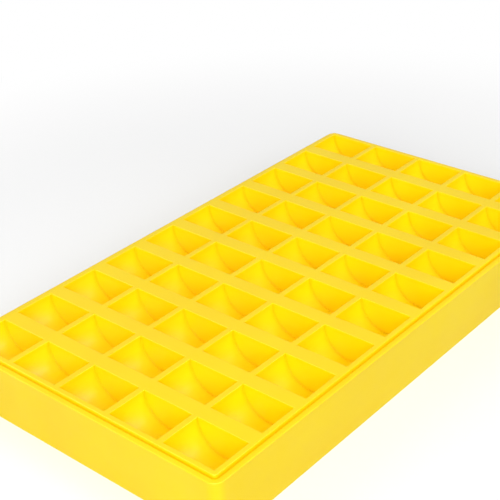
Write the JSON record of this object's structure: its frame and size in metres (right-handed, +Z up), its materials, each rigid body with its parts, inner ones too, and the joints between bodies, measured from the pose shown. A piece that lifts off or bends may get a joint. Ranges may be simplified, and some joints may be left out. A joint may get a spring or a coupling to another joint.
{
  "type": "coin organizer tray",
  "caption": "Stackable moulded tray with a grid of half-round troughs that hold rolls of coins on edge, a step round its top and a hollow underside.",
  "frame": {"origin": "middle of the foot, on the surface that the tray stands on", "axes": "+X across the columns of troughs, +Y along the rows, the longest side, +Z up"},
  "size_m": [0.1512, 0.27, 0.028],
  "materials": {
    "tray": "yellow moulded plastic with a soft gloss"
  },
  "bodies": {
    "root": {"coin_tray": "tray"}
  },
  "joints": []
}
